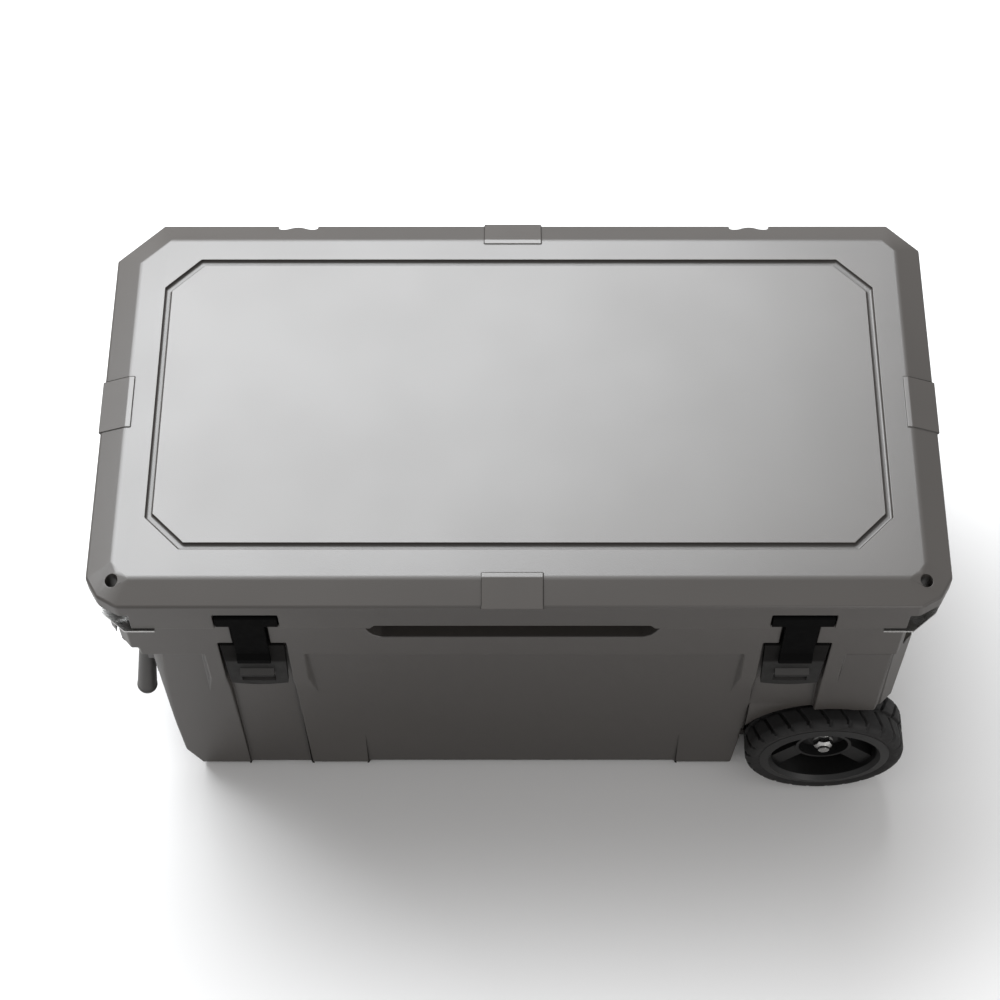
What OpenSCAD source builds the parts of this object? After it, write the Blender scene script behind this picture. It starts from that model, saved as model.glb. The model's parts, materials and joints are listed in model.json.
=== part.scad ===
// Wheeled hard cooler with a hinged lid, two rubber strap latches, a tow handle and two wheels.
// Millimetres. The floor is z = 0, the centre of the footprint is x = y = 0, the front faces -Y
// and the wheels are at the +X end.

/* [Body] */
// Length of the lid, end to end
lid_l = 970; // [940:5:1000]
// Depth of the lid, front to back
lid_w = 522; // [516:2:530]
// Height from the floor to the top of the lid
total_h = 506; // [500:1:515]
// Height from the floor to the joint between tub and lid
parting_z = 439; // [436:1:442]
// Clearance under the tub
floor_gap = 6; // [5:1:8]

/* [Walls] */
// Thickness of the outer skins
skin = 5; // [4:0.5:6]
// Thickness of the inner liner
liner_t = 4; // [3:0.5:5]
// Thickness of the tub's insulated walls at the rim, skins included
wall_t = 50; // [46:1:54]

/* [Wheels] */
// Outer radius of a tyre
tyre_r = 99; // [96:0.5:99]
// Radius of the rim under the tyre
rim_r = 81; // [78:0.5:83]
// Width of a wheel
wheel_w = 62; // [58:1:64]
// Radius of the axle
axle_r = 8; // [7:0.5:9]

/* [Latches] */
// Width of a latch paddle at its top
paddle_w = 74; // [68:1:76]
// Width of the strap between crossbar and paddle
strap_w = 38; // [34:1:40]

/* [Handle] */
// Half thickness of a tow handle arm
arm_r = 12; // [11:0.5:13]
// Distance of each handle arm from the centre plane
arm_y = 208; // [200:1:212]

/* [Hidden] */
$fn = 48;
eps = 0.5;
big = 1200;

// Lid
lid_hl = lid_l / 2;
lid_hw = lid_w / 2;
band_top_z = total_h - 13;
bevel_run = 31;
parting_gap = 1;
lid_bottom_z = parting_z + parting_gap / 2;
groove_w = 8.2;
groove_deep = 4.5;
groove_inset_x = 36;
groove_inset_back = 33;
groove_inset_front = 40;
groove_corner = 39;
pad_w = 69;
pad_x = -7.5;
pad_proud = 2;
lock_x = lid_hl - 31;
lock_y = -lid_hw + 30;
lock_r = 7.2;
lock_plate_r = 6.8;
lock_gap = 32;
lock_plate_t = 3;
lock_ear_t = 55;
relief_from = [437, 196];
ear_from = [446, 226];
lock_screws = [[424, -246], [434, -222]];
seal_x = 428;
seal_y = 216;
seal_w = 8;
lid_foam_x = 418;
lid_foam_y = 206;

// Tub
rim_top_z = parting_z - parting_gap / 2;
rim_bottom_z = 363;
rim_hl = 472;
rim_hw = 256;
body_hw_top = 252;
body_hw_bottom = 239;
left_x_top = -432;
left_x_bottom = -426;
right_x_top = 458;
right_x_bottom = 454;
right_corner_x = 433;
plan_corner = 22;
foot_corner = [16, 45];
recess_w = 395;
recess_x = 4;
recess_h = 104;
recess_deep = 2.5;
grip_slot_w = 334;
grip_slot_h = 31;
grip_slot_deep = 20;
grip_slot_mid_z = 430;

// Inside of the tub
cavity_left = left_x_top + wall_t - 4;
cavity_right = right_x_top - wall_t + 4;
cavity_hw = rim_hw - wall_t;
cavity_floor = 52;
step_x = 226;
step_z = 246;
cavity_corner = 26;

// Wheels
wheel_x = 383;
wheel_z = tyre_r;
wheel_out = 274;
wheel_in = wheel_out - wheel_w;
well_x = 274;
well_r = 105;
well_y = 200;
well_z = 200.5;
hub_r = 19;
bush_r = axle_r + 2.5;
run_gap = 0.05;
cup_r = 31;
cup_deep = 18;
dish_r = 70;
spoke_w = 26;
stud_r = axle_r - 1;
nut_flats = 22;
nut_h = 10;
washer_t = 2;
nut_out = wheel_out - 15;
nut_in = nut_out - nut_h;
hub_out = nut_in - washer_t - 0.3;
hub_in = wheel_in - 0.5;
collar_r = 13;

// Latches
latch_xs = [-307, 320];
pivot_y = -250;
pivot_z = 458;
notch_hw = 36.5;
notch_floor_y = -234;
notch_top_z = 473;
crossbar_w = 70;
shoulder_z = 393;
paddle_top_z = shoulder_z - 3;
paddle_bottom_z = 286;
paddle_bottom_w = paddle_w - 7;
pocket_hw = 39;
pocket_bottom_z = 272;
pocket_floor_y = -243;
tab_hw = 20;
tab_z = 320;
tab_t = 5;
tab_hole_h = 24;
boss_hw = 66;
boss_slope = 8;
boss_bottom_z = 252;
boss_face_z = 298;
end_panel_hw = 254;
channel_deep = 10;
channel_foot = 2;
pin_r = 3.5;

// Hinges
hinge_xs = [-269, 280];
hinge_y = 254.5;
hinge_z = 449;
knuckle_r = 6.5;
knuckle_w = 22;
hinge_w = 47;
hinge_floor_y = 243;
hinge_notch = 6.5;
hinge_lug_r = 19;
hinge_pin_r = 3;
leaf_t = 3;
screw_r = 2.4;
screw_head_h = 2.6;
sink_h = 2.4;
hinge_screw_dx = 15;
hinge_screw_zs = [395, 418];
lid_screw_z = 467;
hinge_screw_len = 18;

// Tow handle
pivot_x = -452;
elbow_x = -445;
elbow_r = 10;
handle_pivot_z = 344;
elbow_z = 287;
grip_x = -460;
grip_z = 181;
grip_r = 15;
grip_hl = 150;
eye_r = 13;
eye_hl = arm_r;
bar_r = 9;
pivot_pin_r = 5;
ear_t = 5;
ear_gap = 0.6;
bracket_screw_zs = [326, 354];

// Drain
drain_z = 68;
drain_bore_r = 9;
drain_tube_r = 12;
drain_flange_r = 17;
drain_face_x = -432;

// ---------- helpers ----------

// A rectangle between two corners with equal round corners, made of squares and circles
module round_rect(low, high, r) {
    translate([low[0] + r, low[1]]) square([high[0] - low[0] - 2 * r, high[1] - low[1]]);
    translate([low[0], low[1] + r]) square([high[0] - low[0], high[1] - low[1] - 2 * r]);
    for (x = [low[0] + r, high[0] - r], y = [low[1] + r, high[1] - r])
        translate([x, y]) circle(r);
}

// A box between two opposite corners
module span(low, high) {
    translate(low) cube(high - low);
}

// A cylinder along X, Y centred on a point
module rod_x(at, r, len) {
    translate(at) rotate([0, 90, 0]) cylinder(r = r, h = len, center = true);
}

module rod_y(at, r, len) {
    translate(at) rotate([90, 0, 0]) cylinder(r = r, h = len, center = true);
}

// A profile drawn in (y, z) and extruded along X, centred on x = 0
module along_x(len) {
    rotate([90, 0, 90]) linear_extrude(len, center = true) children();
}

// A profile drawn in (x, z) and extruded along Y, centred on y = 0
module along_y(len) {
    rotate([90, 0, 0]) linear_extrude(len, center = true) children();
}

module front_and_back() {
    children();
    mirror([0, 1, 0]) children();
}

// Half depth of the drafted body at height z
function body_hw(z) = body_hw_bottom
    + (body_hw_top - body_hw_bottom) * (z - floor_gap) / (rim_bottom_z - floor_gap);

// ---------- tub ----------

module rim_block() {
    difference() {
        translate([0, 0, rim_bottom_z])
            linear_extrude(rim_top_z - rim_bottom_z)
                round_rect([-rim_hl, -rim_hw], [rim_hl, rim_hw], plan_corner);
        // the back edge is cut down so that the lid's heel can swing past it
        along_x(big)
            polygon([[rim_hw - 14, rim_top_z + eps], [rim_hw + eps, rim_top_z + eps],
                [rim_hw + eps, rim_top_z - 9]]);
    }
}

module body_block() {
    intersection() {
        along_x(big)
            polygon([[-body_hw_bottom, floor_gap], [body_hw_bottom, floor_gap],
                [body_hw_top, rim_bottom_z + eps], [-body_hw_top, rim_bottom_z + eps]]);
        along_y(big)
            polygon([[left_x_bottom + foot_corner[0], floor_gap],
                [right_x_bottom, floor_gap], [right_x_top, rim_bottom_z + eps],
                [left_x_top, rim_bottom_z + eps], [left_x_bottom, floor_gap + foot_corner[1]]]);
        linear_extrude(big)
            round_rect([left_x_top, -body_hw_top], [right_x_top, body_hw_top], plan_corner);
    }
}

// Raised frame on the front around one latch, with sloping sides and a sloping lower edge
module latch_boss(x) {
    back = body_hw_bottom - 20;
    translate([x, 0, 0])
        intersection() {
            along_x(2 * boss_hw)
                polygon([[-rim_hw, rim_bottom_z + eps], [-rim_hw, boss_face_z],
                    [-body_hw(boss_bottom_z), boss_bottom_z], [-back, boss_bottom_z],
                    [-back, rim_bottom_z + eps]]);
            linear_extrude(big)
                polygon([[-boss_hw, -back], [-boss_hw, -body_hw_bottom - 7],
                    [-boss_hw + boss_slope, -rim_hw], [boss_hw - boss_slope, -rim_hw],
                    [boss_hw, -body_hw_bottom - 7], [boss_hw, -back]]);
        }
}

// Raised panel over each wheel, from the latch to the cut corner of the end
module end_panel() {
    left = latch_xs[1] + pocket_hw - 1;
    translate([0, 0, well_z - 1])
        linear_extrude(rim_bottom_z + eps - well_z + 1)
            polygon([[left, -body_hw_bottom + 20], [left, -end_panel_hw],
                [right_corner_x, -end_panel_hw], [right_x_bottom, -body_hw_bottom + 20]]);
}

// What is cut away along an upright corner at the wheel end
module end_corner() {
    run = right_x_top - right_corner_x;
    translate([0, 0, -eps])
        linear_extrude(rim_bottom_z + eps)
            polygon([[right_corner_x - 10, -end_panel_hw - 10],
                [right_x_top + 5, -end_panel_hw + run + 5], [big, -end_panel_hw + run + 5],
                [big, -big], [right_corner_x - 10, -big]]);
}

// Bulge of the shell over a tyre, across the foot of the latch channel
module tyre_hood() {
    top = 262;
    low = wheel_z + 24;
    translate([latch_xs[1], 0, 0])
        along_x(2 * pocket_hw + 2)
            polygon([[-body_hw(top) + channel_deep, top], [-body_hw(well_z) - 1, well_z + 4],
                [-body_hw(low) - 1, low], [-body_hw_bottom + 20, low], [-body_hw_bottom + 20, top]]);
}

// Space that one latch hangs in: a slot through the rim, a pocket, and a channel to the bottom
module latch_pocket(x) {
    strap_hw = strap_w / 2 + 2;
    translate([x, 0, 0]) {
        span([-strap_hw, -rim_hw - 10, shoulder_z - eps], [strap_hw, pocket_floor_y - 6, parting_z + 10]);
        span([-pocket_hw, -rim_hw - 10, pocket_bottom_z], [pocket_hw, pocket_floor_y, shoulder_z]);
        along_x(2 * pocket_hw)
            polygon([[-rim_hw - 10, floor_gap - eps],
                [-body_hw_bottom + channel_foot, floor_gap - eps],
                [-body_hw(pocket_bottom_z) + channel_deep, pocket_bottom_z],
                [pocket_floor_y, pocket_bottom_z + 12], [-rim_hw - 10, pocket_bottom_z + 12]]);
    }
}

// Arched towards the middle of the tub, open at its end
module wheel_wells() {
    depth = big / 2 - well_y;
    front_and_back()
        translate([0, -well_y - depth / 2, 0]) {
            rod_y([wheel_x, 0, wheel_z], well_r, depth);
            along_y(depth)
                polygon([[well_x, -eps], [wheel_x - well_r + 1, wheel_z], [wheel_x, wheel_z],
                    [wheel_x, well_z], [big, well_z], [big, -eps]]);
        }
}

// Shallow wedge cut from the front between the feet, dying out at the height recess_h
module foot_recess() {
    past = 1.3;
    high = floor_gap + past * recess_h;
    translate([recess_x, 0, 0])
        along_x(recess_w)
            polygon([[-rim_hw, floor_gap - eps], [-body_hw_bottom + recess_deep, floor_gap - eps],
                [-body_hw(high) - (past - 1) * recess_deep, high], [-rim_hw, high]]);
}

// Hand hold along the front, just under the lid
module grip_slot(low_z, high_z) {
    hw = grip_slot_w / 2;
    mid = -grip_slot_mid_z;
    side = [[hw - 11, -high_z], [hw, mid], [hw - 4, mid + 10], [hw - 9, mid + 17], [hw - 18, -low_z]];
    translate([pad_x, -rim_hw - 10, 0])
        rotate([-90, 0, 0])
            linear_extrude(10 + grip_slot_deep)
                polygon(concat(side, [for (i = [4:-1:0]) [-side[i][0], side[i][1]]]));
}

module tub_outside() {
    difference() {
        union() {
            difference() {
                union() {
                    rim_block();
                    body_block();
                    for (x = latch_xs) latch_boss(x);
                    front_and_back() end_panel();
                }
                for (x = latch_xs) latch_pocket(x);
                front_and_back() end_corner();
            }
            tyre_hood();
        }
        wheel_wells();
        front_and_back() foot_recess();
    }
}

// The storage space, with a raised floor over the wheel wells; grow makes it larger all round
module cavity(grow, top) {
    c = cavity_corner + grow;
    translate([0, 0, cavity_floor - grow])
        linear_extrude(top - cavity_floor + grow)
            round_rect([cavity_left - grow, -cavity_hw - grow], [step_x + grow, cavity_hw + grow], c);
    translate([0, 0, step_z - grow])
        linear_extrude(top - step_z + grow)
            round_rect([cavity_left - grow, -cavity_hw - grow],
                [cavity_right + grow, cavity_hw + grow], c);
}

// Room for the foam between the outer skin and the liner
module tub_foam_space() {
    front = body_hw_bottom - skin - 2;
    left = left_x_bottom + skin + 6;
    right = right_x_bottom - skin;
    difference() {
        union() {
            span([left, -front, floor_gap + skin], [well_x - skin, front, rim_bottom_z]);
            span([0, -well_y + skin, floor_gap + skin], [right, well_y - skin, rim_bottom_z]);
            span([0, -front, wheel_z + well_r + skin], [right, front, rim_bottom_z]);
            span([left, -front + 6, rim_bottom_z - eps], [right, front - 6, rim_top_z - skin]);
        }
        // the skin stays thick behind the latch pockets and in the foot corner at the low end
        for (x = latch_xs)
            span([x - pocket_hw - skin, -big / 2, 0],
                [x + pocket_hw + skin, -body_hw_bottom + channel_deep + skin, rim_top_z]);
        span([left - eps, -big / 2, 0], [left + foot_corner[0], big / 2, floor_gap + foot_corner[1]]);
    }
}

module drain_hole(r) {
    translate([left_x_top - 30, 0, drain_z]) rotate([0, 90, 0]) cylinder(r = r, h = 110);
}

module tub_shell() {
    color([0.27, 0.25, 0.24])
    difference() {
        tub_outside();
        tub_foam_space();
        cavity(liner_t, rim_top_z + eps);
        grip_slot(parting_z - grip_slot_h, parting_z + 10);
        drain_hole(drain_tube_r);
        rod_y([wheel_x, 0, wheel_z], axle_r + 4, 2 * well_y + 4);
        for (side = [-1, 1]) {
            lock_plate_body(side);
            lock_relief(side);
        }
    }
}

module tub_insulation() {
    color([0.93, 0.88, 0.70])
    difference() {
        tub_foam_space();
        cavity(liner_t, rim_top_z + eps);
        drain_hole(drain_tube_r);
        rod_y([wheel_x, 0, wheel_z], axle_r + 4, 2 * well_y + 4);
    }
}

module tub_liner() {
    color([0.86, 0.86, 0.84])
    difference() {
        cavity(liner_t, rim_top_z);
        cavity(0, rim_top_z + eps);
        drain_hole(drain_tube_r);
    }
}

// Room under the hole in a lock plate, and the cut corner of the rim below it; the corner at the
// handle end keeps a deep ear under its plate
module lock_relief(side) {
    low = rim_bottom_z - eps;
    plate_z = rim_top_z - lock_plate_t;
    cut_z = side < 0 ? plate_z - lock_ear_t : plate_z;
    translate([side * lock_x, lock_y, low]) cylinder(r = lock_r + 4, h = plate_z - low);
    translate([0, 0, low]) {
        corner_wedge(side, relief_from, cut_z - low);
        corner_wedge(side, ear_from, rim_top_z + eps - low);
    }
}

// A wedge off a front corner of the rim, cut from x = from[0] on the front to y = -from[1] on the end
module corner_wedge(side, from, h) {
    linear_extrude(h)
        polygon([[side * from[0], -rim_hw - eps], [side * (rim_hl + eps), -from[1]],
            [side * (rim_hl + eps), -rim_hw - eps]]);
}

// A steel plate round one front corner of the rim; its hole is cut in lock_plates()
module lock_plate_body(side) {
    inner_x = 412;
    out = lid_hl + 1;
    front = -lid_hw - 2;
    translate([0, 0, rim_top_z - lock_plate_t])
        linear_extrude(lock_plate_t + eps / 5)
            polygon([[side * inner_x, front], [side * (out - 40), front], [side * (out - 13), front + 23],
                [side * out, front + 46], [side * out, -206], [side * 446, -206], [side * inner_x, -238]]);
}

module lock_plates() {
    color([0.80, 0.80, 0.80])
    for (side = [-1, 1])
        difference() {
            lock_plate_body(side);
            translate([side * lock_x, lock_y, 0]) cylinder(r = lock_plate_r, h = big);
            for (p = lock_screws)
                translate([side * p[0], p[1], rim_top_z]) {
                    translate([0, 0, -10]) cylinder(r = screw_r, h = 20);
                    translate([0, 0, -sink_h]) cylinder(r1 = screw_r, r2 = 2 * screw_r, h = sink_h);
                }
            translate([side * lock_x, lock_y, rim_top_z]) cylinder(r = 90, h = 5);
        }
}

module lock_plate_screws() {
    color([0.35, 0.35, 0.36])
    for (side = [-1, 1], p = lock_screws)
        translate([side * p[0], p[1], rim_top_z]) flat_screw(12);
}

// A countersunk screw with its flat face at z = 0, its shank pointing down
module flat_screw(len) {
    difference() {
        union() {
            translate([0, 0, -len]) cylinder(r = screw_r, h = len - sink_h);
            translate([0, 0, -sink_h]) cylinder(r1 = screw_r, r2 = 2 * screw_r, h = sink_h);
        }
        translate([0, 0, -1.5]) cylinder(r = 1.3, h = 2, $fn = 6);
    }
}

// A screw standing on its head's seat, its shank pointing down
module button_screw(len) {
    translate([0, 0, -len]) cylinder(r = screw_r, h = len);
    difference() {
        intersection() {
            cylinder(r = 2 * screw_r, h = screw_head_h);
            translate([0, 0, screw_head_h - 8]) sphere(8);
        }
        translate([0, 0, 1]) cylinder(r = 1.3, h = screw_head_h, $fn = 6);
    }
}

module rubber_feet() {
    color([0.10, 0.10, 0.10])
    for (y = [-190, 190])
        translate([-372, y, 0]) {
            cylinder(r1 = 20, r2 = 22, h = 2);
            translate([0, 0, 2]) cylinder(r = 22, h = floor_gap - 2);
        }
}

module drain_fitting() {
    color([0.12, 0.12, 0.12])
    difference() {
        union() {
            translate([drain_face_x, 0, drain_z]) rotate([0, 90, 0])
                cylinder(r = drain_tube_r, h = cavity_left - drain_face_x + 3);
            difference() {
                translate([drain_face_x, 0, drain_z]) rotate([0, 90, 0])
                    cylinder(r = drain_flange_r, h = 10);
                body_block();
            }
            translate([cavity_left, 0, drain_z]) rotate([0, 90, 0])
                cylinder(r = drain_flange_r - 2, h = 3);
        }
        drain_hole(drain_bore_r);
    }
}

module drain_seal() {
    color([0.10, 0.10, 0.10])
    translate([drain_face_x - 2, 0, drain_z]) rotate([0, 90, 0])
        difference() {
            cylinder(r = drain_flange_r - 3, h = 2);
            translate([0, 0, -eps]) cylinder(r = drain_bore_r + 0.5, h = 3);
        }
}

module drain_plug() {
    color([0.12, 0.12, 0.12])
    translate([drain_face_x - 2, 0, drain_z]) rotate([0, 90, 0]) {
        cylinder(r = drain_bore_r - run_gap, h = 32);
        translate([0, 0, -5]) cylinder(r = drain_flange_r - 2, h = 5);
        translate([-11, -2.5, -11]) cube([22, 5, 6]);
    }
}

// ---------- hinges ----------

module hinge_barrel(x, w) {
    rod_x([x, hinge_y, hinge_z], knuckle_r, w);
}

module hinge_leaves_tub() {
    color([0.16, 0.16, 0.17])
    for (x = hinge_xs)
        difference() {
            union() {
                span([x - hinge_w / 2, rim_hw, 384], [x + hinge_w / 2, rim_hw + leaf_t, 436]);
                span([x - knuckle_w / 2, rim_hw - 4, 433], [x + knuckle_w / 2, rim_hw + leaf_t, hinge_z]);
                hinge_barrel(x, knuckle_w);
            }
            rod_x([x, hinge_y, hinge_z], hinge_pin_r, hinge_w + 10);
            for (dx = [-hinge_screw_dx, hinge_screw_dx], z = hinge_screw_zs)
                rod_y([x + dx, rim_hw, z], screw_r, 4 * leaf_t);
        }
}

module hinge_pins() {
    color([0.75, 0.75, 0.76])
    for (x = hinge_xs) rod_x([x, hinge_y, hinge_z], hinge_pin_r, hinge_w - 1);
}

module hinge_leaves_lid() {
    side_w = (hinge_w - 1 - knuckle_w) / 2 - 0.4;
    color([0.16, 0.16, 0.17])
    for (x = hinge_xs)
        difference() {
            union() {
                span([x - hinge_w / 2 + 0.5, hinge_floor_y, lid_bottom_z + 1],
                    [x + hinge_w / 2 - 0.5, hinge_floor_y + leaf_t, 474]);
                for (side = [-1, 1]) {
                    at = x + side * (knuckle_w / 2 + 0.4 + side_w / 2);
                    hinge_barrel(at, side_w);
                    span([at - side_w / 2, hinge_floor_y, hinge_z - 5], [at + side_w / 2, hinge_y, hinge_z + 5]);
                }
            }
            rod_x([x, hinge_y, hinge_z], hinge_pin_r + run_gap, hinge_w + 10);
            for (dx = [-hinge_screw_dx, hinge_screw_dx])
                rod_y([x + dx, hinge_floor_y, lid_screw_z], screw_r, 4 * leaf_t);
        }
}

module hinge_screws_tub() {
    color([0.35, 0.35, 0.36])
    for (x = hinge_xs, dx = [-hinge_screw_dx, hinge_screw_dx], z = hinge_screw_zs)
        translate([x + dx, rim_hw + leaf_t, z]) rotate([-90, 0, 0]) button_screw(hinge_screw_len);
}

module hinge_screws_lid() {
    color([0.35, 0.35, 0.36])
    for (x = hinge_xs, dx = [-hinge_screw_dx, hinge_screw_dx])
        translate([x + dx, hinge_floor_y + leaf_t, lid_screw_z])
            rotate([-90, 0, 0]) button_screw(hinge_screw_len);
}

// ---------- lid ----------

// Outline of the lid, drawn in by inset: two cut corners behind, two blunt ones in front
module lid_outline(inset) {
    hl = lid_hl - inset;
    hw = lid_hw - inset;
    left_cut = 53 - 0.59 * inset;
    right_cut = 37 - 0.65 * inset;
    front_cut = 37 - 0.50 * inset;
    bulge = 5 - 0.1 * inset;
    polygon([[-hl, hw - left_cut], [-hl + left_cut, hw], [hl - right_cut, hw], [hl, hw - right_cut],
        [hl, -hw + front_cut], [hl - front_cut / 2 + bulge, -hw + front_cut / 2 - bulge],
        [hl - front_cut, -hw], [-hl + front_cut, -hw],
        [-hl + front_cut / 2 - bulge, -hw + front_cut / 2 - bulge], [-hl, -hw + front_cut]]);
}

module lid_block() {
    hull() {
        translate([0, 0, lid_bottom_z]) linear_extrude(band_top_z - lid_bottom_z) lid_outline(0);
        translate([0, 0, total_h - 1]) linear_extrude(1) lid_outline(bevel_run);
    }
}

// The sunk line round the top, an octagon of constant width
module lid_groove() {
    module ring(grow) {
        x = lid_hl - bevel_run - groove_inset_x + grow;
        back = lid_hw - bevel_run - groove_inset_back + grow;
        front = lid_hw - bevel_run - groove_inset_front + grow;
        c = groove_corner + 0.41 * grow;
        polygon([[-x, back - c], [-x + c, back], [x - c, back], [x, back - c], [x, -front + c],
            [x - c, -front], [-x + c, -front], [-x, -front + c]]);
    }
    translate([0, 0, total_h - groove_deep])
        linear_extrude(groove_deep + eps)
            difference() {
                ring(groove_w / 2);
                ring(-groove_w / 2);
            }
}

// Four raised tabs that lap over the bevel in the middle of each side
module lid_pads() {
    for (turn = [0, 180])
        rotate([0, 0, turn])
            translate([turn == 0 ? pad_x : -pad_x, 0, 0])
                along_x(pad_w) pad_profile(lid_hw);
    for (turn = [90, -90])
        rotate([0, 0, turn])
            along_x(pad_w) pad_profile(lid_hl);
}

// Section of a tab over the bevel of an edge at distance edge from the centre
module pad_profile(edge) {
    top = total_h + pad_proud / 2;
    polygon([[-edge + bevel_run + 6, total_h - 2], [-edge + bevel_run + 6, top],
        [-edge + bevel_run, top], [-edge - pad_proud, band_top_z], [-edge - pad_proud, band_top_z - 3],
        [-edge + 4, band_top_z - 3]]);
}

module lid_cuts() {
    for (x = latch_xs)
        span([x - notch_hw, -big / 2, 0], [x + notch_hw, notch_floor_y, notch_top_z]);
    for (x = hinge_xs) {
        span([x - hinge_w / 2, hinge_floor_y, 0], [x + hinge_w / 2, big / 2, 480]);
        difference() {
            span([x - hinge_w / 2, lid_hw - hinge_notch, 0], [x + hinge_w / 2, big / 2, big]);
            translate([x, lid_hw - 2 - hinge_lug_r, 0]) cylinder(r = hinge_lug_r, h = big);
        }
    }
    for (side = [-1, 1]) {
        translate([side * lock_x, lock_y, 0]) cylinder(r = lock_r, h = big);
        mirror([side < 0 ? 1 : 0, 0, 0])
            span([438, -big / 2, 0], [big / 2, -212, lid_bottom_z + lock_gap]);
    }
    grip_slot(parting_z - grip_slot_h, parting_z + 8);
}

module lid_shell() {
    color([0.45, 0.44, 0.43])
    difference() {
        union() {
            lid_block();
            lid_pads();
        }
        lid_groove();
        lid_cuts();
        lid_foam_box(lid_bottom_z - eps, total_h - 7);
        translate([0, 0, lid_bottom_z - eps]) seal_ring(4 + eps);
        for (x = latch_xs) rod_x([x, pivot_y, pivot_z], pin_r, 2 * notch_hw + 20);
    }
}

module lid_foam_box(low, high) {
    span([-lid_foam_x, -lid_foam_y, low], [lid_foam_x, lid_foam_y, high]);
}

module lid_insulation() {
    color([0.93, 0.88, 0.70])
    lid_foam_box(lid_bottom_z + liner_t, total_h - 7);
}

module lid_liner() {
    gap = 5;
    color([0.86, 0.86, 0.84]) {
        lid_foam_box(lid_bottom_z, lid_bottom_z + liner_t);
        translate([0, 0, lid_bottom_z - 10])
            linear_extrude(10)
                round_rect([cavity_left + gap, -cavity_hw + gap], [cavity_right - gap, cavity_hw - gap],
                    cavity_corner - gap);
    }
}

module seal_ring(h) {
    half = seal_w / 2;
    linear_extrude(h)
        difference() {
            round_rect([-seal_x - half, -seal_y - half], [seal_x + half, seal_y + half], 30 + half);
            round_rect([-seal_x + half, -seal_y + half], [seal_x - half, seal_y - half], 30 - half);
        }
}

module lid_gasket() {
    color([0.12, 0.12, 0.12])
    translate([0, 0, rim_top_z + 0.4]) seal_ring(lid_bottom_z + 4 - rim_top_z - 0.4);
}

// ---------- latches ----------

module latch_pins() {
    color([0.75, 0.75, 0.76])
    for (x = latch_xs) rod_x([x, pivot_y, pivot_z], pin_r, 2 * notch_hw + 18);
}

// One moulded rubber strap: crossbar on the pin, strap over the rim, paddle in the pocket
module latch_strap(x) {
    strap_y = pivot_y - 12;
    color([0.07, 0.07, 0.07])
    translate([x, 0, 0])
        difference() {
            union() {
                along_x(crossbar_w)
                    translate([pivot_y, pivot_z]) round_rect([-12, -14], [8, 10], 4);
                along_x(strap_w)
                    polygon([[strap_y, pivot_z + 6], [strap_y, 378], [strap_y - 4, 368],
                        [strap_y - 4, 360], [strap_y, 354], [-250, 354], [-250, paddle_top_z],
                        [-251.5, 438], [-251.5, pivot_z + 6]]);
                translate([0, -249.5, 0]) rotate([90, 0, 0])
                    linear_extrude(8)
                        polygon(concat(
                            [[-paddle_w / 2, paddle_top_z], [-paddle_bottom_w / 2, paddle_bottom_z + 4]],
                            [for (i = [1:7]) [paddle_bottom_w * (i / 8 - 0.5),
                                paddle_bottom_z + 4 - 5 * sin(180 * i / 8)]],
                            [[paddle_bottom_w / 2, paddle_bottom_z + 4], [paddle_w / 2, paddle_top_z]]));
                // the finger tab over the hole, sloping down to a blunt edge
                along_x(2 * tab_hw)
                    polygon([[-256.5, tab_z + 2 * tab_t], [-264, tab_z + tab_t], [-264, tab_z],
                        [-256.5, tab_z]]);
            }
            rod_x([0, pivot_y, pivot_z], pin_r + run_gap, 2 * notch_hw);
            span([-tab_hw, -300, tab_z - tab_hole_h], [tab_hw, -200, tab_z]);
        }
}

module latch_strap_left() {
    latch_strap(latch_xs[0]);
}

module latch_strap_right() {
    latch_strap(latch_xs[1]);
}

// ---------- axle and wheels ----------

module axle_tube() {
    color([0.5, 0.5, 0.5])
    difference() {
        rod_y([wheel_x, 0, wheel_z], axle_r + 4, 2 * well_y + 4);
        rod_y([wheel_x, 0, wheel_z], axle_r, 2 * well_y + 10);
    }
}

module axle() {
    color([0.75, 0.75, 0.76]) {
        rod_y([wheel_x, 0, wheel_z], axle_r, 2 * (nut_in - washer_t));
        rod_y([wheel_x, 0, wheel_z], stud_r, 2 * (nut_out + 3));
    }
}

// A ring on the axle between two distances from the centre plane, on both sides
module axle_ring(y0, y1, r, bore) {
    front_and_back()
        difference() {
            rod_y([wheel_x, -(y0 + y1) / 2, wheel_z], r, y1 - y0);
            rod_y([wheel_x, -(y0 + y1) / 2, wheel_z], bore, y1 - y0 + 1);
        }
}

module axle_collars() {
    color([0.14, 0.14, 0.14]) axle_ring(well_y + 2, hub_in - 0.3, collar_r, axle_r);
}

module axle_washers() {
    color([0.78, 0.78, 0.78]) axle_ring(nut_in - washer_t, nut_in, 12.5, stud_r);
}

module axle_nuts() {
    color([0.78, 0.78, 0.78])
    front_and_back()
        difference() {
            translate([wheel_x, -nut_in, wheel_z]) rotate([90, 0, 0])
                intersection() {
                    cylinder(r = nut_flats / sqrt(3), h = nut_h, $fn = 6);
                    translate([0, 0, nut_h - 16]) sphere(17.5);
                }
            rod_y([wheel_x, -nut_in, wheel_z], stud_r, 4 * nut_h);
        }
}

// Section of the rim, in (radius, distance from the outer face)
module rim_section() {
    polygon([[dish_r, 0], [rim_r, 2], [rim_r, wheel_w - 4], [rim_r - 6, wheel_w - 4],
        [dish_r - 2, 28], [dish_r - 4, 6]]);
    translate([bush_r, wheel_out - hub_out]) square([hub_r - bush_r, hub_out - hub_in]);
    translate([0, cup_deep])
        polygon([[hub_r - 1, 16], [cup_r, 14], [cup_r, 0], [cup_r + 4, 0], [cup_r + 4, 20], [hub_r - 1, 24]]);
}

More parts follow.
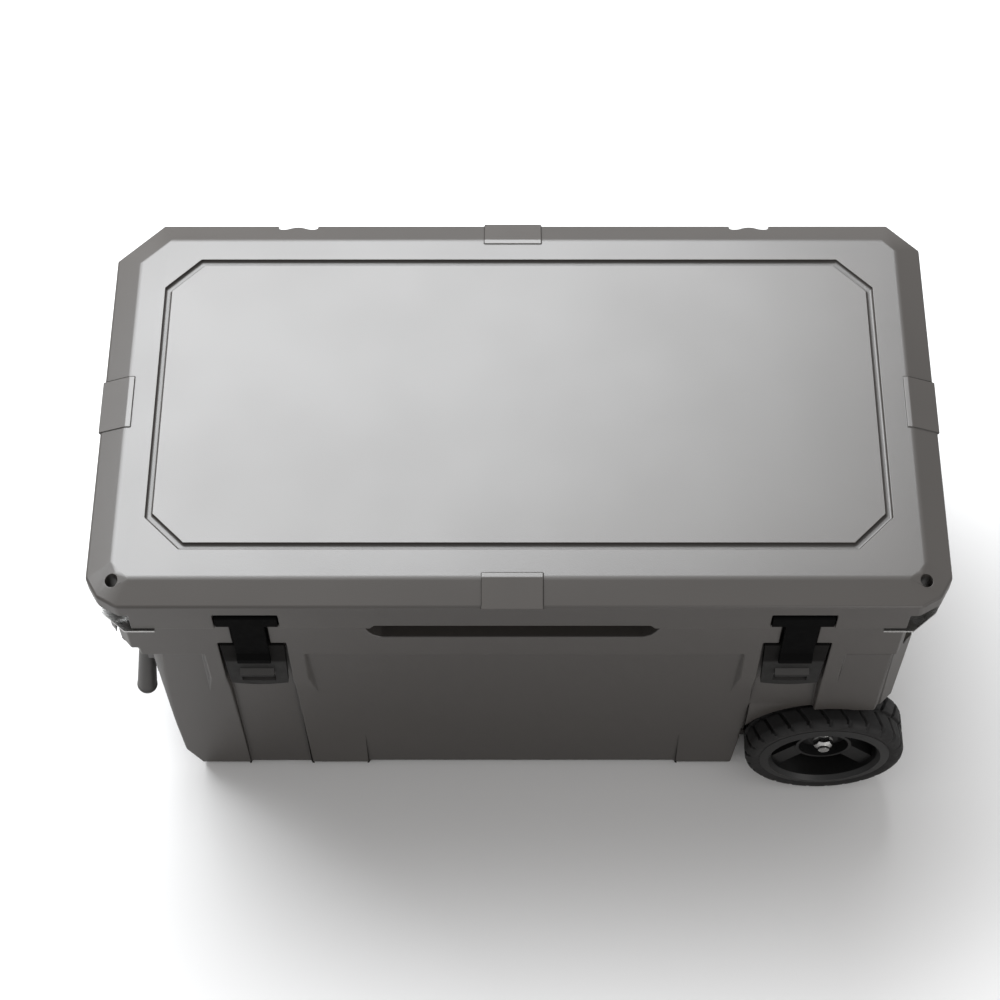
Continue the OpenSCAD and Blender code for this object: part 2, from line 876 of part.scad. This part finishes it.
module front_wheel_place() {
    translate([wheel_x, -wheel_out, wheel_z]) rotate([-90, 0, 0]) children();
}

module wheel_rim() {
    color([0.08, 0.08, 0.08])
    front_wheel_place() {
        rotate_extrude($fn = 96) rim_section();
        for (a = [270, 30, 150])
            rotate([90, 0, a])
                linear_extrude(spoke_w, center = true)
                    polygon([[cup_r + 2, cup_deep + 3], [dish_r + 2, 12], [dish_r + 2, 30],
                        [cup_r + 2, cup_deep + 20]]);
    }
}

module wheel_bush() {
    color([0.85, 0.85, 0.82])
    front_wheel_place()
        translate([0, 0, wheel_out - hub_out])
            difference() {
                cylinder(r = bush_r, h = hub_out - hub_in);
                translate([0, 0, -1]) cylinder(r = axle_r + run_gap, h = wheel_w);
            }
}

module tyre() {
    color([0.06, 0.06, 0.06])
    front_wheel_place()
        rotate_extrude($fn = 96)
            polygon([[rim_r, 2], [tyre_r - 7, 0.5], [tyre_r - 2, 4], [tyre_r, 9], [tyre_r, wheel_w - 8],
                [tyre_r - 3, wheel_w - 3], [tyre_r - 8, wheel_w - 1], [rim_r, wheel_w - 3]]);
}

module wheel_rim_front() {
    wheel_rim();
}

module wheel_bush_front() {
    wheel_bush();
}

module tyre_front() {
    tyre();
}

module wheel_rim_rear() {
    mirror([0, 1, 0]) wheel_rim();
}

module wheel_bush_rear() {
    mirror([0, 1, 0]) wheel_bush();
}

module tyre_rear() {
    mirror([0, 1, 0]) tyre();
}

// ---------- tow handle ----------

module handle_brackets() {
    plate_x = left_x_top - 5;
    ear_y = eye_hl + ear_gap;
    color([0.16, 0.16, 0.16])
    front_and_back()
        translate([0, -arm_y, 0])
            difference() {
                union() {
                    span([plate_x, -30, 316], [left_x_top + 5, 30, 362]);
                    for (side = [-1, 1])
                        translate([0, side * (ear_y + ear_t / 2), 0]) {
                            rod_y([pivot_x, 0, handle_pivot_z], eye_r, ear_t);
                            span([pivot_x, -ear_t / 2, handle_pivot_z - eye_r],
                                [plate_x + 1, ear_t / 2, handle_pivot_z + eye_r]);
                        }
                }
                translate([0, arm_y, 0]) body_block();
                rod_y([pivot_x, 0, handle_pivot_z], pivot_pin_r, 60);
                for (y = [-24, 24], z = bracket_screw_zs)
                    rod_x([plate_x, y, z], screw_r, 30);
            }
}

module handle_bracket_screws() {
    color([0.35, 0.35, 0.36])
    for (side = [-1, 1], y = [-24, 24], z = bracket_screw_zs)
        translate([left_x_top - 5, side * arm_y + y, z]) rotate([0, -90, 0]) button_screw(22);
}

module handle_pins() {
    color([0.75, 0.75, 0.76])
    for (side = [-1, 1])
        rod_y([pivot_x, side * arm_y, handle_pivot_z], pivot_pin_r, 2 * (eye_hl + ear_gap + ear_t) + 2);
}

// A round bar between two points of the plane y = 0, given as (x, z)
module bar_between(low, high, low_r, high_r) {
    way = high - low;
    translate([low[0], 0, low[1]])
        rotate([0, atan2(way[0], way[1]), 0])
            cylinder(r1 = low_r, r2 = high_r, h = norm(way));
}

// One moulded arm: an eye for the pivot pin and a slightly bent round bar that ends round the
// cross bar in a dome
module handle_arm() {
    blind = 4;
    elbow = [elbow_x, elbow_z];
    color([0.30, 0.28, 0.27])
    difference() {
        union() {
            rod_y([pivot_x, -arm_y, handle_pivot_z], eye_r, 2 * eye_hl);
            translate([0, -arm_y, 0]) {
                bar_between(elbow, [pivot_x, handle_pivot_z], elbow_r, elbow_r);
                translate([elbow_x, 0, elbow_z]) sphere(elbow_r + 0.3);
                bar_between([grip_x, grip_z], elbow, arm_r, elbow_r);
                translate([grip_x, 0, grip_z]) sphere(arm_r + 0.5);
            }
        }
        rod_y([pivot_x, -arm_y, handle_pivot_z], pivot_pin_r + run_gap, 40);
        rod_y([grip_x, -arm_y + blind, grip_z], bar_r, 2 * eye_hl);
    }
}

module handle_arm_front() {
    handle_arm();
}

module handle_arm_rear() {
    mirror([0, 1, 0]) handle_arm();
}

module handle_bar() {
    color([0.62, 0.62, 0.63])
    rod_y([grip_x, 0, grip_z], bar_r, 2 * (arm_y + eye_hl - 4));
}

module handle_grip() {
    color([0.10, 0.10, 0.10])
    difference() {
        rod_y([grip_x, 0, grip_z], grip_r, 2 * grip_hl);
        rod_y([grip_x, 0, grip_z], bar_r, 2 * grip_hl + 10);
    }
}

tub_shell();
tub_insulation();
tub_liner();
rubber_feet();
drain_fitting();
drain_seal();
drain_plug();
lock_plates();
lock_plate_screws();
hinge_leaves_tub();
hinge_pins();
hinge_screws_tub();
hinge_leaves_lid();
hinge_screws_lid();
lid_shell();
lid_insulation();
lid_liner();
lid_gasket();
latch_pins();
latch_strap_left();
latch_strap_right();
axle_tube();
axle();
axle_collars();
axle_washers();
axle_nuts();
wheel_rim_front();
wheel_bush_front();
tyre_front();
wheel_rim_rear();
wheel_bush_rear();
tyre_rear();
handle_brackets();
handle_bracket_screws();
handle_pins();
handle_arm_front();
handle_arm_rear();
handle_bar();
handle_grip();
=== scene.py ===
"""Looks for a wheeled hard cooler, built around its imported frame. Metres, +Z up, front towards -Y."""
import json
import math

import bmesh
import bpy
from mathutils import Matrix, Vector


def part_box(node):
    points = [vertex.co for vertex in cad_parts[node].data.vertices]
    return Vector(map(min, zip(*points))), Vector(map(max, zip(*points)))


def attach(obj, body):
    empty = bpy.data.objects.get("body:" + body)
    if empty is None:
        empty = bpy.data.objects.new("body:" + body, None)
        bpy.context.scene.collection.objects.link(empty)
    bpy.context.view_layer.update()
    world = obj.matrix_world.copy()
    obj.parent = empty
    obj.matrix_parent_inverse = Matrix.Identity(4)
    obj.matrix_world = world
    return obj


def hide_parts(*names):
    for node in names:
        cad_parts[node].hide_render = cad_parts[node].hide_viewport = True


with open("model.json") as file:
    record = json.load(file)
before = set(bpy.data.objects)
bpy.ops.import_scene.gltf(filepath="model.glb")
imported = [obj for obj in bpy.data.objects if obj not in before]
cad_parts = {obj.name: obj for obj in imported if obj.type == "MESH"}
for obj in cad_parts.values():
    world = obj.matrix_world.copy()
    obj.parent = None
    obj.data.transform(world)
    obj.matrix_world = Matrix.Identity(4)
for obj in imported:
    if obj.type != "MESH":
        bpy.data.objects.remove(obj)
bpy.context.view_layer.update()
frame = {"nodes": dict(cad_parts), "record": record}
nodes = frame["nodes"]
MM = 0.001

# ---------- places worked out from the frame ----------

tub_low, tub_high = (Vector(c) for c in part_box("tub_shell"))
lid_low, lid_high = (Vector(c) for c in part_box("lid_shell"))
tyre_low, tyre_high = (Vector(c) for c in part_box("tyre_front"))
rim_low, rim_high = (Vector(c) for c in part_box("wheel_rim_front"))
parting_z = lid_low.z
lid_top = lid_high.z
wheel_x = (tyre_low.x + tyre_high.x) / 2
wheel_z = (tyre_low.z + tyre_high.z) / 2
tyre_r = (tyre_high.x - tyre_low.x) / 2
rim_r = (rim_high.x - rim_low.x) / 2


# ---------- node trees ----------

class Tree:
    """A material's node tree, with short calls for the nodes used here."""

    def __init__(self, name):
        self.material = bpy.data.materials.new(name)
        self.material.use_nodes = True
        self.nodes = self.material.node_tree.nodes
        self.links = self.material.node_tree.links
        self.surface = self.nodes["Principled BSDF"]
        self.place = self.nodes.new("ShaderNodeTexCoord").outputs["Object"]

    def link(self, a, b):
        self.links.new(a, b)

    def noise(self, scale, detail=3.0, rough=0.5, stretch=None):
        node = self.nodes.new("ShaderNodeTexNoise")
        node.inputs["Scale"].default_value = scale
        node.inputs["Detail"].default_value = detail
        node.inputs["Roughness"].default_value = rough
        place = self.place
        if stretch:
            mapping = self.nodes.new("ShaderNodeMapping")
            mapping.inputs["Scale"].default_value = stretch
            self.link(place, mapping.inputs["Vector"])
            place = mapping.outputs["Vector"]
        self.link(place, node.inputs["Vector"])
        return node.outputs["Fac"]

    def cells(self, scale):
        node = self.nodes.new("ShaderNodeTexVoronoi")
        node.inputs["Scale"].default_value = scale
        self.link(self.place, node.inputs["Vector"])
        return node.outputs["Distance"]

    def remap(self, value, low, high, from_low=0.3, from_high=0.7):
        node = self.nodes.new("ShaderNodeMapRange")
        node.inputs["From Min"].default_value = from_low
        node.inputs["From Max"].default_value = from_high
        node.inputs["To Min"].default_value = low
        node.inputs["To Max"].default_value = high
        self.link(value, node.inputs["Value"])
        return node.outputs["Result"]

    def mix(self, factor, a, b):
        node = self.nodes.new("ShaderNodeMix")
        node.data_type = "RGBA"
        for socket, value in (("A", a), ("B", b)):
            target = [s for s in node.inputs if s.name == socket and s.type == "RGBA"][0]
            if hasattr(value, "is_linked"):
                self.link(value, target)
            else:
                target.default_value = (*value, 1.0)
        self.link(factor, node.inputs["Factor"])
        return [s for s in node.outputs if s.type == "RGBA"][0]

    def painted_gap_shade_mask(self, reach):
        """A mask for painted shade from ambient occlusion: 0 in the depth of narrow gaps and 1 on open
        stretches.
        """
        node = self.nodes.new("ShaderNodeAmbientOcclusion")
        node.samples = 6
        node.inputs["Distance"].default_value = reach
        return self.remap(node.outputs["AO"], 0.0, 1.0, 0.35, 0.9)

    def worn_edges(self, amount):
        """0 on flat stretches and up to amount along outer edges."""
        geometry = self.nodes.new("ShaderNodeNewGeometry")
        return self.remap(geometry.outputs["Pointiness"], 0.0, amount, 0.505, 0.56)

    def bump(self, height, strength, distance):
        node = self.nodes.new("ShaderNodeBump")
        node.inputs["Strength"].default_value = strength
        node.inputs["Distance"].default_value = distance
        self.link(height, node.inputs["Height"])
        return node.outputs["Normal"]

    def finish(self, color, roughness, normal, metallic=0.0, specular=0.5):
        self.link(color, self.surface.inputs["Base Color"])
        self.link(roughness, self.surface.inputs["Roughness"])
        self.link(normal, self.surface.inputs["Normal"])
        self.surface.inputs["Metallic"].default_value = metallic
        self.surface.inputs["Specular IOR Level"].default_value = specular
        return self.material


def shade(color, factor):
    return tuple(c * factor for c in color)


def moulded_plastic(name, color, rough=(0.40, 0.43), wear=0.25, specular=1.0, gaps=0.0):
    """Satin moulded plastic: fine grain, paler edges, and painted shade, a darker colour and weaker
    reflection, in gaps of about that reach.
    """
    t = Tree(name)
    clouds = t.noise(7.0, 4.0, 0.6)
    color_out = t.mix(t.remap(clouds, 0.0, 1.0), shade(color, 0.98), shade(color, 1.02))
    color_out = t.mix(t.worn_edges(wear), color_out, shade(color, 2.2))
    fine = t.bump(t.cells(900.0), 0.10, 0.0004)
    if gaps:
        # Painted shade: narrow gaps are darkened to three tenths of the colour, and their reflection is cut
        # to a tenth.
        unshaded_share = t.painted_gap_shade_mask(gaps)
        color_out = t.mix(unshaded_share, shade(color, 0.3), color_out)
        sheen = t.remap(unshaded_share, 0.1 * specular, specular, 0.0, 1.0)
        t.link(sheen, t.surface.inputs["Specular IOR Level"])
    return t.finish(color_out, t.remap(t.noise(6.0, 2.0), *rough), fine, specular=specular)


def rubber(name, color, rough=(0.50, 0.66)):
    """Moulded rubber with a faint bloom in patches."""
    t = Tree(name)
    bloom = t.remap(t.noise(60.0, 6.0, 0.65), 0.0, 0.25, 0.45, 0.75)
    color_out = t.mix(bloom, color, shade(color, 3.0))
    normal = t.bump(t.noise(1500.0, 2.0), 0.25, 0.0002)
    return t.finish(color_out, t.remap(t.noise(90.0, 3.0), *rough), normal, specular=0.4)


STRAP_ALONE = 73 * MM
TAB_DROP = 123 * MM
STRAP_DEPTH = 7.5 * MM


def latch_rubber(name, strap_color, paddle_color):
    """Rubber that is blacker on the strap and its crossbar, with painted light on the paddle's
    upward-facing faces, which makes the sloping finger tab paler.

    Down from its top the moulding is strap alone, then strap in front of paddle, then the tab. Both
    straps share one height and depth, so the left one's box serves for both.
    """
    low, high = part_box("latch_strap_left")
    paddle_top = high[2] - STRAP_ALONE
    tab_top = high[2] - TAB_DROP
    t = Tree(name)
    place = t.nodes.new("ShaderNodeSeparateXYZ")
    t.link(t.place, place.inputs["Vector"])
    facing = t.nodes.new("ShaderNodeSeparateXYZ")
    t.link(t.nodes.new("ShaderNodeTexCoord").outputs["Normal"], facing.inputs["Vector"])

    def above(value, level, soft):
        return t.remap(value, 0.0, 1.0, level - soft, level + soft)

    # Painted light: the paddle's faces that tilt upward are painted 4.5 times paler.
    painted_top_light_mask = above(facing.outputs["Z"], 0.4, 0.2)
    paddle = t.mix(painted_top_light_mask, paddle_color, shade(paddle_color, 4.5))
    set_back = above(place.outputs["Y"], low[1] + STRAP_DEPTH, 0.5 * MM)
    strap_or_paddle = t.mix(set_back, strap_color, paddle_color)
    color_out = t.mix(above(place.outputs["Z"], tab_top, MM), paddle, strap_or_paddle)
    color_out = t.mix(above(place.outputs["Z"], paddle_top, MM), color_out, strap_color)
    normal = t.bump(t.noise(1400.0, 2.0), 0.2, 0.0002)
    sheen = t.remap(place.outputs["Z"], 0.28, 0.02, tab_top - MM, tab_top + 5 * MM)
    t.link(sheen, t.surface.inputs["Specular IOR Level"])
    return t.finish(color_out, t.remap(t.noise(80.0, 3.0), 0.55, 0.68), normal)


def steel(name, color, rough=(0.20, 0.36)):
    """Steel with fine brush marks and a little dulling."""
    t = Tree(name)
    marks = t.noise(300.0, 3.0, 0.5, stretch=(1.0, 60.0, 1.0))
    color_out = t.mix(t.remap(t.noise(40.0, 4.0), 0.0, 1.0), shade(color, 0.82), color)
    normal = t.bump(marks, 0.15, 0.0001)
    return t.finish(color_out, t.remap(marks, *rough), normal, metallic=1.0)


def foam(name, color):
    """Rigid foam with small open cells."""
    t = Tree(name)
    cell = t.cells(420.0)
    color_out = t.mix(t.remap(cell, 0.0, 1.0, 0.1, 0.7), shade(color, 0.7), color)
    return t.finish(color_out, t.remap(cell, 0.8, 0.95), t.bump(cell, 0.7, 0.001), specular=0.2)


SHELL_GREY = (0.040, 0.035, 0.031)
FINISHES = {
    # The shells take painted shade in gaps within 6 mm.
    "shell_plastic": moulded_plastic("shell_plastic_look", SHELL_GREY, gaps=6 * MM),
    "liner_plastic": moulded_plastic("liner_plastic_look", (0.62, 0.62, 0.60), (0.28, 0.38), wear=0.0),
    "foam": foam("foam_look", (0.85, 0.76, 0.52)),
    "black_rubber": rubber("black_rubber_look", (0.007, 0.007, 0.007)),
    "black_plastic": moulded_plastic("black_plastic_look", (0.008, 0.008, 0.008), (0.34, 0.46), wear=0.15,
                                     specular=0.45),
    "bright_steel": steel("bright_steel_look", (0.62, 0.62, 0.61)),
    "dark_steel": steel("dark_steel_look", (0.12, 0.12, 0.125), (0.32, 0.48)),
    "handle_paint": moulded_plastic("handle_plastic_look", shade(SHELL_GREY, 0.55), specular=0.5),
    "tyre_rubber": rubber("tyre_rubber_look", (0.007, 0.0065, 0.0065), (0.55, 0.72)),
    "bush_plastic": moulded_plastic("bush_plastic_look", (0.70, 0.70, 0.66), (0.30, 0.40), wear=0.0),
    "hinge_plastic": moulded_plastic("hinge_plastic_look", (0.028, 0.026, 0.025), (0.34, 0.46)),
}

# Painted shade: the lid's sunk line takes a duller copy of the shell plastic with no reflection, so it
# reads dark.
SUNK_LINE_SHADE_FINISH = moulded_plastic("groove_painted_shade_look", shade(SHELL_GREY, 1.15), (0.75, 0.80), specular=0.0)
LATCH = latch_rubber("latch_rubber_look", (0.0035, 0.0035, 0.0035), (0.014, 0.0135, 0.013))


def dress(obj, *finishes):
    obj.data.materials.clear()
    for finish in finishes:
        obj.data.materials.append(finish)


# ---------- mesh helpers ----------

def smooth_faces(obj):
    for polygon in obj.data.polygons:
        polygon.use_smooth = True


def add_bevel(obj, width, segments, by_weight=False):
    bevel = obj.modifiers.new("round_edges", "BEVEL")
    bevel.width = width
    bevel.segments = segments
    bevel.limit_method = "WEIGHT" if by_weight else "ANGLE"
    bevel.angle_limit = math.radians(28)
    bevel.use_clamp_overlap = not by_weight
    bevel.harden_normals = True
    bevel.miter_outer = "MITER_ARC"


def soften_node(name, width):
    """Rounds the edges of a CAD node with modifiers, leaving its mesh as it is."""
    obj = nodes[name]
    weld = obj.modifiers.new("join_faces", "WELD")
    weld.merge_threshold = 1e-5
    add_bevel(obj, width, 2)
    obj.modifiers.new("even_normals", "WEIGHTED_NORMAL").keep_sharp = True


def repeats_a_corner(face):
    return len({v.index for v in face.verts}) < len(face.verts) or any(
        sum(loop.face == face for loop in edge.link_loops) > 1 for edge in face.edges)


def clean_copy(node, piece, cuts):
    """A new object with the node's mesh, welded, and with its flat faces made whole between the cuts.

    The cuts are (point, normal) planes. They keep a face with a hole from becoming one ring.
    """
    mesh = nodes[node].data.copy()
    obj = bpy.data.objects.new(piece, mesh)
    bpy.context.scene.collection.objects.link(obj)
    bm = bmesh.new()
    bm.from_mesh(mesh)
    bmesh.ops.remove_doubles(bm, verts=bm.verts, dist=2e-5)
    for point, normal in cuts:
        geometry = bm.verts[:] + bm.edges[:] + bm.faces[:]
        cut = bmesh.ops.bisect_plane(bm, geom=geometry, dist=1e-6, plane_co=point, plane_no=normal)
        for part in cut["geom_cut"]:
            if isinstance(part, bmesh.types.BMEdge):
                part.seam = True
    bmesh.ops.dissolve_limit(bm, angle_limit=math.radians(0.6), verts=bm.verts, edges=bm.edges,
                             delimit={"SEAM"})
    bm.verts.index_update()
    bmesh.ops.triangulate(bm, faces=[face for face in bm.faces if repeats_a_corner(face)])
    bm.normal_update()
    bm.to_mesh(mesh)
    bm.free()
    return obj


def round_by_rule(obj, widest, rule):
    """Rounds each sharp edge by rule(midpoint), a width in metres up to widest."""
    bm = bmesh.new()
    bm.from_mesh(obj.data)
    layer = bm.edges.layers.float.new("bevel_weight_edge")
    for edge in bm.edges:
        if len(edge.link_faces) != 2 or edge.calc_face_angle(0.0) < math.radians(20):
            continue
        a, b = (v.co for v in edge.verts)
        edge[layer] = min(1.0, rule((a + b) / 2) / widest)
    bm.to_mesh(obj.data)
    bm.free()
    smooth_faces(obj)
    add_bevel(obj, widest, 4, by_weight=True)
    obj.modifiers.new("even_normals", "WEIGHTED_NORMAL").keep_sharp = True


# ---------- the two shells ----------

# The lid's four raised tabs: half their width, and the X of the two on the long sides
TAB_HALF = 35 * MM
TAB_X = -7.5 * MM
LID_MARGIN = 40 * MM
LID_ROUND = 3.2 * MM
TUB_ROUND = 3.0 * MM
PARTING_ROUND = 2.2 * MM
LOCK_HOLE = next(m for m in frame["record"]["mounts"] if m["name"] == "lock_hole_left")
LOCK_X, LOCK_Y = (abs(c) for c in LOCK_HOLE["pos_m"][:2])
RIM_INNER = (0.415, 0.215)
FRONT_DETAIL_Z = 0.26


def inside_margin(at):
    return abs(at.x) < lid_high.x - LID_MARGIN and abs(at.y) < lid_high.y - LID_MARGIN


def lid_edge_width(at):
    """Small at the sunk line, the tabs, the inside and the lock holes, and wide on the outer edges."""
    on_tab = abs(at.x - TAB_X) < TAB_HALF + MM or abs(at.y) < TAB_HALF + MM
    inside = inside_margin(at)
    by_lock_hole = abs(abs(at.x) - LOCK_X) < 12 * MM and abs(at.y + LOCK_Y) < 12 * MM
    if by_lock_hole or (at.z > lid_top - 5 * MM and inside):
        return 0.6 * MM
    if at.z > lid_top - 20 * MM and on_tab:
        return 0.9 * MM
    if at.z < lid_top - 6 * MM and inside:
        return 0.6 * MM
    if at.z < parting_z + 2 * MM:
        return PARTING_ROUND
    if at.z < parting_z + 36 * MM:
        return 1.6 * MM
    return LID_ROUND


def tub_edge_width(at):
    """Small inside the rim, finer on the front's upper details, and wide elsewhere."""
    if at.z > tub_high.z - 2 * MM:
        return PARTING_ROUND
    if abs(at.x) < RIM_INNER[0] and abs(at.y) < RIM_INNER[1]:
        return 0.8 * MM
    if at.y < 0 and at.z > FRONT_DETAIL_Z:
        return 1.6 * MM
    return TUB_ROUND


def make_shell(node, piece, body, widest, rule, finishes, is_sunk=None):
    """The node's mesh with rounded edges; faces that is_sunk picks take the second finish."""
    cuts = [(Vector((TAB_X, 0, 0)), Vector((1, 0, 0))), (Vector((0, 0, 0)), Vector((0, 1, 0)))]
    shell = clean_copy(node, piece, cuts)
    if is_sunk:
        for face in shell.data.polygons:
            face.material_index = 1 if is_sunk(face) else 0
    round_by_rule(shell, widest, rule)
    dress(shell, *finishes)
    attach(shell, body)
    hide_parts(node)


def in_sunk_line(face):
    height_fits = lid_top - 8 * MM < face.center.z < lid_top - 1 * MM
    return inside_margin(face.center) and height_fits and face.normal.z > -0.5


def make_shells():
    shell_plastic = FINISHES["shell_plastic"]
    make_shell("lid_shell", "lid_cover", "lid", LID_ROUND, lid_edge_width, (shell_plastic, SUNK_LINE_SHADE_FINISH),
               in_sunk_line)
    make_shell("tub_shell", "tub_body", "tub", TUB_ROUND, tub_edge_width, (shell_plastic,))


# ---------- tyres ----------

LUGS = 25
STEPS_PER_LUG = 28
TREAD_DEPTH = 3.5 * MM
SHOULDER = 9 * MM
STEPS_ACROSS = 26


def tyre_profile():
    """Points round the tyre's section as (radius, way across from the outer face, groove share)."""
    width = tyre_high.y - tyre_low.y
    outer, inner = tyre_r, rim_r
    corners = [(inner, 2.0 * MM, 0), (inner + 5 * MM, 0.6 * MM, 0), (outer - 9 * MM, 0.2 * MM, 0),
               (outer - 5 * MM, 1.4 * MM, 0.5), (outer - 1.8 * MM, 4.2 * MM, 1), (outer, SHOULDER, 1)]
    step = (width - 2 * SHOULDER) / STEPS_ACROSS
    middle = [(outer, SHOULDER + step * i, 1) for i in range(1, STEPS_ACROSS)]
    back = [(r, width - y, share) for r, y, share in reversed(corners)]
    return corners + middle + back


def ease(x):
    x = max(0.0, min(1.0, x))
    return x * x * (3 - 2 * x)


def groove_share(lug_turn, across):
    """1 in the grooves of a chevron tread and 0 on its lugs; across runs from -1 to 1."""
    slant = 0.75 * abs(across) + (0.5 if across > 0 else 0.0)
    phase = (lug_turn + slant) % 1.0
    distance = min(phase, 1 - phase)
    cross_groove = 1 - ease((distance - 0.05) / 0.05)
    middle_groove = 1 - ease((abs(across) - 0.045) / 0.05)
    return max(cross_groove, middle_groove)


def make_tyre(node, body, mirror):
    """A tyre with a cut tread; mirror is 1 for the front one and -1 for the rear one."""
    profile = tyre_profile()
    half = (tyre_high.y - tyre_low.y) / 2
    turns = LUGS * STEPS_PER_LUG
    bm = bmesh.new()
    rings = []
    for k in range(turns):
        angle = 2 * math.pi * k / turns
        ring = []
        for r, y, share in profile:
            depth = share * TREAD_DEPTH * groove_share(k / STEPS_PER_LUG, (y - half) / half)
            radius = r - depth
            ring.append(bm.verts.new((wheel_x + radius * math.cos(angle), mirror * (tyre_low.y + y),
                                      wheel_z + radius * math.sin(angle))))
        rings.append(ring)
    for k in range(turns):
        a, b = rings[k], rings[(k + 1) % turns]
        for i in range(len(profile)):
            j = (i + 1) % len(profile)
            bm.faces.new((a[i], a[j], b[j], b[i]))
    bmesh.ops.recalc_face_normals(bm, faces=bm.faces)
    mesh = bpy.data.meshes.new(node + "_tread")
    bm.to_mesh(mesh)
    bm.free()
    obj = bpy.data.objects.new(node + "_tread", mesh)
    bpy.context.scene.collection.objects.link(obj)
    smooth_faces(obj)
    mesh.set_sharp_from_angle(angle=math.radians(40))
    dress(obj, FINISHES["tyre_rubber"])
    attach(obj, body)
    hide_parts(node)


# ---------- nodes that keep their CAD shape ----------

# Width of the rounding on each node's edges, in millimetres
EDGE_WIDTHS = {
    "tub_liner": 1.5, "lid_liner": 1.5, "rubber_feet": 0.8, "drain_fitting": 0.8, "drain_plug": 1.0,
    "lock_plates": 0.5, "hinge_leaves_tub": 0.6, "hinge_leaves_lid": 0.6, "latch_strap_left": 1.4,
    "latch_strap_right": 1.4, "handle_brackets": 1.0, "handle_arm_front": 2.5, "handle_arm_rear": 2.5,
    "handle_grip": 2.0, "handle_bar": 0.8, "axle_nuts": 0.5, "axle_washers": 0.3, "axle": 0.6,
    "axle_collars": 0.6, "wheel_rim_front": 1.2, "wheel_rim_rear": 1.2,
    "lock_plate_screws": 0.25, "hinge_screws_tub": 0.25, "hinge_screws_lid": 0.25,
    "handle_bracket_screws": 0.25, "hinge_pins": 0.4, "latch_pins": 0.4, "handle_pins": 0.5,
}


def dress_cad_nodes():
    for entry in frame["record"]["subparts"]:
        name = entry["node"]
        dress(nodes[name], LATCH if name.startswith("latch_strap") else FINISHES[entry["material_slot"]])
        if name in EDGE_WIDTHS:
            soften_node(name, EDGE_WIDTHS[name] * MM)


# ---------- studio ----------

def area_light(name, at, towards, size, power, color=(1, 1, 1)):
    light = bpy.data.lights.new(name, "AREA")
    light.shape = "RECTANGLE"
    light.size, light.size_y = size
    light.energy = power
    light.color = color
    obj = bpy.data.objects.new(name, light)
    bpy.context.scene.collection.objects.link(obj)
    obj.location = at
    obj.rotation_euler = (Vector(towards) - Vector(at)).to_track_quat("-Z", "Y").to_euler()


def make_floor():
    """A pale floor that throws back less light on the cooler than it shows to the camera."""
    mesh = bpy.data.meshes.new("floor")
    half = 9.0
    corners = [(-half, -half, 0), (half, -half, 0), (half, half, 0), (-half, half, 0)]
    mesh.from_pydata(corners, [], [(0, 1, 2, 3)])
    floor = bpy.data.objects.new("floor", mesh)
    bpy.context.scene.collection.objects.link(floor)
    t = Tree("floor_look")
    pale = t.mix(t.remap(t.noise(0.8, 2.0), 0.0, 1.0), (0.80, 0.795, 0.79), (0.82, 0.815, 0.81))
    seen = t.nodes.new("ShaderNodeLightPath").outputs["Is Camera Ray"]
    pale = t.mix(seen, (0.52, 0.51, 0.50), pale)
    roughness = t.remap(t.noise(3.0), 0.5, 0.6)
    floor.data.materials.append(t.finish(pale, roughness, t.bump(t.noise(40.0), 0.02, 0.001)))


def make_studio():
    bpy.context.scene.view_settings.view_transform = "Standard"
    world = bpy.data.worlds.new("studio")
    bpy.context.scene.world = world
    world.use_nodes = True
    background = world.node_tree.nodes["Background"]
    background.inputs["Color"].default_value = (1.0, 1.0, 1.0, 1.0)
    background.inputs["Strength"].default_value = 0.52
    area_light("top_softbox", (-0.8, 1.52, 2.9), (0, 0.2, 0.45), (3.6, 1.8), 208, (0.96, 0.98, 1.0))
    area_light("left_softbox", (-2.6, 0.2, 1.6), (0, 0, 0.3), (1.2, 1.6), 0.5)
    area_light("front_softbox", (1.3, -2.0, 0.9), (0.4, -0.3, 0.15), (1.2, 0.8), 9, (1.0, 0.97, 0.96))


def make_camera():
    """Looks along +Y and steeply down, with the frame's centre a little off the lens axis."""
    pitch_down = math.radians(60.55)
    camera = bpy.data.cameras.new("camera")
    camera.lens = 83.2
    camera.sensor_width = 36.0
    camera.shift_x = -0.019
    camera.shift_y = 0.002
    obj = bpy.data.objects.new("camera", camera)
    bpy.context.scene.collection.objects.link(obj)
    obj.location = (0.0, -1.4193, 2.7831)
    obj.rotation_euler = (math.pi / 2 - pitch_down, 0.0, 0.0)
    bpy.context.scene.camera = obj


make_camera()
make_floor()
make_studio()
dress_cad_nodes()
make_shells()
make_tyre("tyre_front", "wheel_front", 1)
make_tyre("tyre_rear", "wheel_rear", -1)
